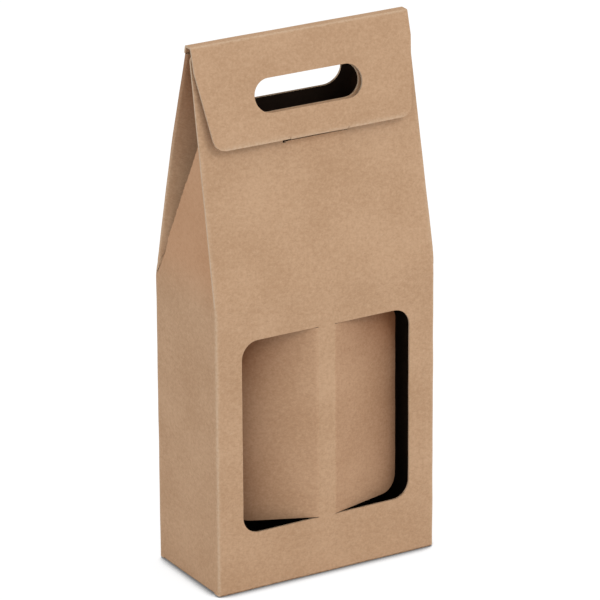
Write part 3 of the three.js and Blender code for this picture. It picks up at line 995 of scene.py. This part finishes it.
def gusset(side):
    name = "left_gusset" if side < 0 else "right_gusset"
    hinge = joint_place(name + "_fold")
    upward = np.array(joint_entry(name + "_fold")["axis"])
    upward = upward / np.linalg.norm(upward) * math.copysign(1, upward[2])
    normal = outer_normal(name, -rear_out)
    foot_point = hinge - upward * ((hinge - rear_fold) @ upward)
    origin = foot_point + normal * ((node_points(name) - foot_point) @ normal).max()
    loop = face_loops(name, origin, np.cross(upward, normal), upward)[0]
    if side > 0:
        loop = flipped(loop)
    spring = math.acos(-normal @ rear_out)
    turn = math.pi - spring
    reach = GUSSET_RADIUS * math.tan(turn / 4)
    first = np.array([0, fold_start + reach])
    second = first + 2 * reach * np.array([-math.sin(turn / 2), math.cos(turn / 2)])
    inward = np.array([-math.sin(turn), math.cos(turn)])
    path = FoldPath([(0, 0), first, second, second + LEG * inward], [GUSSET_RADIUS] * 2)
    root = path.marks[1] - reach
    flat_from = path.marks[2] + reach
    shift = flat_from - (side * origin[0] - second[1] - reach * inward[1]) / math.cos(spring)
    middle = (root + flat_from) / 2
    foot, head = GUSSET_FOOT, rear_end
    cut = [(root, foot), (middle, foot + GUSSET_CUT_START)]
    cut += [(middle + GUSSET_CUT_STEP, foot + GUSSET_CUT / 2), (flat_from, foot + GUSSET_CUT)]
    new_edge = [(flat_from + GUSSET_HEAD_CUT, head), (root, head)] + cut
    loop = replace_run(shifted(loop, shift, 0), lambda spot: spot[0] < shift + CREASE_ZONE, new_edge)
    corner = [(root + share * (flat_from - root), v) for share, v in WRAP_EDGE]
    corner += [(flat_from, GUSSET_CUT), (flat_from + WRAP_LIP, GUSSET_CUT + WRAP_RISE)]
    corner += [(flat_from + WRAP_TUCK_START, WRAP_RISE), (flat_from + WRAP_TUCK, WRAP_RISE)]
    corner += [(flat_from + WRAP_TUCK, foot + GUSSET_CUT + WRAP_TOP)]
    corner += [(u, v - GUSSET_GAP) for u, v in reversed(cut)]
    centre = np.array([-GUSSET_RADIUS, fold_start])

    def place(u, v):
        spot, face, bend = path.at(u)
        share = np.clip((v - foot) / (head - foot), 0, 1)
        twist = np.interp(share, (0, 1), GUSSET_TWIST) * np.clip((u - root) / (flat_from - root), 0, 1)
        spot = centre + turned(spot - centre, twist)
        face = turned(face, twist)
        base, out, _ = rear_place(np.zeros(len(u)), v)
        points = base + out * spot[:, :1] + np.outer(rear_taper(v) - spot[:, 1], X)
        return points, out * face[:, :1] - np.outer(face[:, 1], X), bend

    bends = path.bends()
    ends = [(root, (foot + head) / 2), (flat_from, (foot + head) / 2)]
    if side > 0:
        loop, place, bends, ends = other_side(loop, place, bends, ends)
    # Painted shade: the gusset darkens towards its head, from a little below halfway up
    piece = board(
        name + "_board", [loop], place, bends_u=bends, blank=back_blank, stands_for=[name],
        depth=lambda flat: GUSSET_SHADE * np.clip((flat[:, 1] - foot) / (head - foot) * 2 - 0.85, 0, 1),
        outside=recess_shaded_kraft,
    )
    bend_between(piece, "rear_slope", name, place, *ends)
    return place, corner, bends


left_wrap, corner_line, left_bends = gusset(-1)
right_wrap, _, right_bends = gusset(1)


def wrapped_rear(u, v):
    """The rear slope, which at the shoulder also goes round both corners, below the gussets"""
    points, normals, bend = rear_place(u, v)
    narrower = rear_taper(v)
    for side, wrap in ((1, left_wrap), (-1, right_wrap)):
        beyond = side * u > fold_start - narrower
        if beyond.any():
            points[beyond], normals[beyond], bend[beyond] = wrap((u + side * narrower)[beyond], v[beyond])
    return points, normals, bend


rear_loops = face_loops("rear_slope", rear_fold, -X, rear_up)
side_line = [(u - rear_taper(v), v) for u, v in corner_line + [(fold_start, rear_end)]]
rear_loops[0] = [(-fold_start, below), (edge, below), (edge, SHOULDER_GAP)] + side_line
rear_loops[0] += [(-u, v) for u, v in reversed(side_line)] + [(-fold_start, SHOULDER_GAP)]
rear = board(
    "rear_slope_board", rear_loops, wrapped_rear,
    bends_u=left_bends + right_bends, bends_v=over_top.bends()[:1],
    blank=back_blank, stands_for=["rear_slope"], depth=slope_painted_shade,
)
bend_between(rear, "sleeve", "rear_slope", rear_place, (0, -REAR_BEND), (0, REAR_BEND))



def bend_at(piece, first, second, corner):
    """Calls bend_between with the flat ends of one crease of the line over the top"""
    mark, reach = over_top.bends()[corner]
    bend_between(piece, first, second, top_fold, (0, mark - reach), (0, mark + reach))


ridge_middle = ridge_mark + ridge_width / 2
ridge_loop = [(-top_half, rear_end), (top_half, rear_end)]
ridge_loop += [(top_half, ridge_middle), (-top_half, ridge_middle)]
ridge = board(
    "ridge_board", [ridge_loop], rear_place, bends_v=over_top.bends()[1:2],
    blank=back_blank, stands_for=["ridge_strip"], depth=in_the_open,
)
bend_at(ridge, "rear_slope", "ridge_strip", 1)

flap_loops = face_loops("closure_flap", ridge_front, -X, flap_down)
tab_loop = face_loops("lock_tab", flap_foot, -X, tab_in)[0]
tab_left = min(u for u, _ in tab_loop)
tab_right = max(u for u, _ in tab_loop)
tab_crease = over_top.reach(3)
tab_root = flap_length - tab_crease
flap_loop = replace_run(
    flap_loops[0], lambda spot: spot[1] < CREASE_ZONE,
    [(-top_half, -ridge_width / 2), (top_half, -ridge_width / 2)],
)
lower = next(
    i for i in range(len(flap_loop))
    if flap_loop[i][0] > tab_right and flap_loop[(i + 1) % len(flap_loop)][0] < tab_left
    and flap_loop[i][1] > flap_length - CREASE_ZONE
)
flap_end = flap_loop[lower][1]
flap_loop[lower + 1:lower + 1] = [
    (tab_right + TAB_GAP, flap_end),
    (tab_right + TAB_GAP, tab_root),
    (tab_left - TAB_GAP, tab_root),
    (tab_left - TAB_GAP, flap_end),
]
flap_loops[0] = flap_loop
flap_loops = [shifted(loop, 0, flap_mark) for loop in flap_loops]
flap = board(
    "closure_flap_board", flap_loops, top_fold, bends_v=over_top.bends()[2:3],
    blank=back_blank, stands_for=["closure_flap"], depth=in_the_open,
)
bend_at(flap, "ridge_strip", "closure_flap", 2)

tab_loop = replace_run(
    tab_loop, lambda spot: spot[1] < CREASE_ZONE, [(tab_left, -tab_crease), (tab_right, -tab_crease)],
)
tab = board(
    "lock_tab_board", [shifted(tab_loop, 0, tab_mark)], top_fold, bends_v=over_top.bends()[3:4],
    blank=back_blank, stands_for=["lock_tab"], depth=in_the_open,
)
bend_at(tab, "closure_flap", "lock_tab", 3)


# Base flaps, folded in from the walls
def base_flap(name, across, out, wall, level, blank, tongue=None):
    path = base_path(wall, level)
    origin = wall * out + level * Z
    loop = face_loops(name, origin, across, out)[0]
    half = max(u for u, v in loop if v > -CREASE_ZONE)
    rise = path.reach(-1)
    loop = replace_run(loop, lambda spot: spot[1] > -CREASE_ZONE, [(half, rise), (-half, rise)])
    clear = half_width - BASE_CLIMB - BASE_SIDE_GAP
    loop = [(u if v > 0 else max(-clear, min(clear, u)), v) for u, v in loop]
    place = folded(path, np.zeros(3), across, out, Z, by_v=True)
    bends = path.bends()
    if tongue:
        loop, place, bends = tongue(loop, place)
    piece = board(
        name + "_board", [loop], place, bends_v=bends, blank=blank, stands_for=[name], outside=shaded_foot_kraft,
        hidden=lambda spot: True,
    )
    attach(piece, "sleeve")


def front_tongue(loop, flat_place):
    """The front base flap's middle, climbing over the rear flap and lying on it"""
    points = node_points("base_front_flap")
    level = points[:, 2].max() - THICKNESS
    end = points[points[:, 2] > level + THICKNESS / 2][:, 1].max()
    climb_end = points[np.abs(points[:, 2] - level) < SAME_SPOT][:, 1].min()
    half = np.abs(points[points[:, 2] > level + THICKNESS / 2][:, 0]).max()
    root = max(v for u, v in loop if abs(u) < half + TONGUE_GAP and v < -CREASE_ZONE)
    path = FoldPath(
        [
            (-end, level),
            (-climb_end, level),
            (half_depth + root, FOOT),
            (half_depth, FOOT),
            (half_depth, FOOT + LEG),
        ],
        [BASE_CLIMB_RADIUS, BASE_CLIMB_RADIUS, BASE_RADIUS],
        zero=3,
    )
    low = path.marks[0]
    inner = half - TONGUE_CHAMFER
    run = [(-half, root), (-half, low + TONGUE_CHAMFER), (-inner, low)]
    run += [(-u, v) for u, v in reversed(run)]
    loop = replace_run(
        loop, lambda spot: abs(spot[0]) < half + TONGUE_GAP and spot[1] < -CREASE_ZONE, run,
    )
    tongue_place = folded(path, np.zeros(3), X, -Y, Z, by_v=True)

    def place(u, v):
        wide = np.abs(u) > half + TONGUE_GAP
        return tuple(np.where(wide if flat.ndim == 1 else wide[:, None], flat, climb)
                     for flat, climb in zip(flat_place(u, v), tongue_place(u, v)))

    return loop, place, path.bends()


base_flap("base_front_flap", X, -Y, half_depth, base_levels["front"], (on_front(0), 0), front_tongue)
base_flap("base_rear_flap", -X, Y, half_depth, base_levels["rear"], (on_back(0), 0))
base_flap("base_left_flap", -Y, -X, half_width, base_levels["left"], (on_left(0), 0))
base_flap("base_right_flap", Y, X, half_width, base_levels["right"], (on_right(0), 0))


# Studio: pale floor, bright dome, soft light from the front right, in metres
FLOOR_HALF = 4
FLOOR_GLOW = 0.78
CONTACT_REACH = 0.017


def seen_rays(tree):
    """1 for rays that look at the studio itself, straight or by way of gloss and glass"""
    path = tree.nodes.new("ShaderNodeLightPath")
    total = path.outputs["Is Camera Ray"]
    for ray in ("Is Glossy Ray", "Is Transmission Ray"):
        total = combine(tree, "MAXIMUM", total, path.outputs[ray])
    return total


def studio_floor():
    data = bpy.data.meshes.new("floor")
    corners = [(-FLOOR_HALF, -FLOOR_HALF, 0), (FLOOR_HALF, -FLOOR_HALF, 0)]
    corners += [(FLOOR_HALF, FLOOR_HALF, 0), (-FLOOR_HALF, FLOOR_HALF, 0)]
    data.from_pydata(corners, [], [(0, 1, 2, 3)])
    floor = bpy.data.objects.new("floor", data)
    bpy.context.scene.collection.objects.link(floor)
    material = bpy.data.materials.new("floor")
    material.use_nodes = True
    tree = material.node_tree
    shader = tree.nodes["Principled BSDF"]
    shader.inputs["Base Color"].default_value = (0.94, 0.96, 1, 1)
    shader.inputs["Roughness"].default_value = 0.9
    shader.inputs["Specular IOR Level"].default_value = 0
    # Painted contact shadow: for camera rays the floor glows white, dimmed by an occlusion node where the box
    # stands close; a little real lighting is mixed in
    shade = add_node(tree, "ShaderNodeAmbientOcclusion", {"Distance": CONTACT_REACH}, samples=16)
    glow = remap(tree, shade.outputs["AO"], 0.45, 0.72, 0.18, 1.12)
    white = add_node(tree, "ShaderNodeEmission", {"Color": (1, 1, 1, 1), "Strength": glow})
    bright = add_node(tree, "ShaderNodeMixShader", {0: FLOOR_GLOW, 1: shader.outputs[0], 2: white.outputs[0]})
    mix = add_node(
        tree, "ShaderNodeMixShader", {0: seen_rays(tree), 1: shader.outputs[0], 2: bright.outputs[0]},
    )
    tree.links.new(mix.outputs[0], tree.nodes["Material Output"].inputs["Surface"])
    data.materials.append(material)


def soft_light(name, place, aim, size, power):
    data = bpy.data.lights.new(name, "AREA")
    data.shape = "DISK"
    data.size = size
    data.energy = power
    light = bpy.data.objects.new(name, data)
    light.location = place
    light.rotation_euler = (Vector(aim) - Vector(place)).to_track_quat("-Z", "Y").to_euler()
    bpy.context.scene.collection.objects.link(light)


def dome(strength):
    world = bpy.data.worlds.new("studio")
    bpy.context.scene.world = world
    world.use_nodes = True
    tree = world.node_tree
    tree.nodes.clear()
    seen = add_node(tree, "ShaderNodeBackground", {"Color": (1, 1, 1, 1), "Strength": 1.0})
    lit = add_node(tree, "ShaderNodeBackground", {"Color": (1, 1, 1, 1), "Strength": strength})
    mix = add_node(
        tree, "ShaderNodeMixShader", {0: seen_rays(tree), 1: lit.outputs[0], 2: seen.outputs[0]},
    )
    out = tree.nodes.new("ShaderNodeOutputWorld")
    tree.links.new(mix.outputs[0], out.inputs["Surface"])


studio_floor()
dome(strength=0.765)
soft_light("key", place=(0.8, -2.2, 2.4), aim=(0, 0, 0.2), size=1.2, power=18)

# Camera
camera = bpy.data.objects.new("camera", bpy.data.cameras.new("camera"))
camera.data.lens = 279.05
camera.data.sensor_width = 36
camera.data.clip_end = 20
camera.location = (-1.57053, -2.67803, 1.35556)
camera.rotation_euler = (math.radians(69.504), math.radians(0.3), math.radians(-30.564))
bpy.context.scene.collection.objects.link(camera)
bpy.context.scene.camera = camera
bpy.context.scene.view_settings.view_transform = "Standard"

bpy.context.view_layer.update()
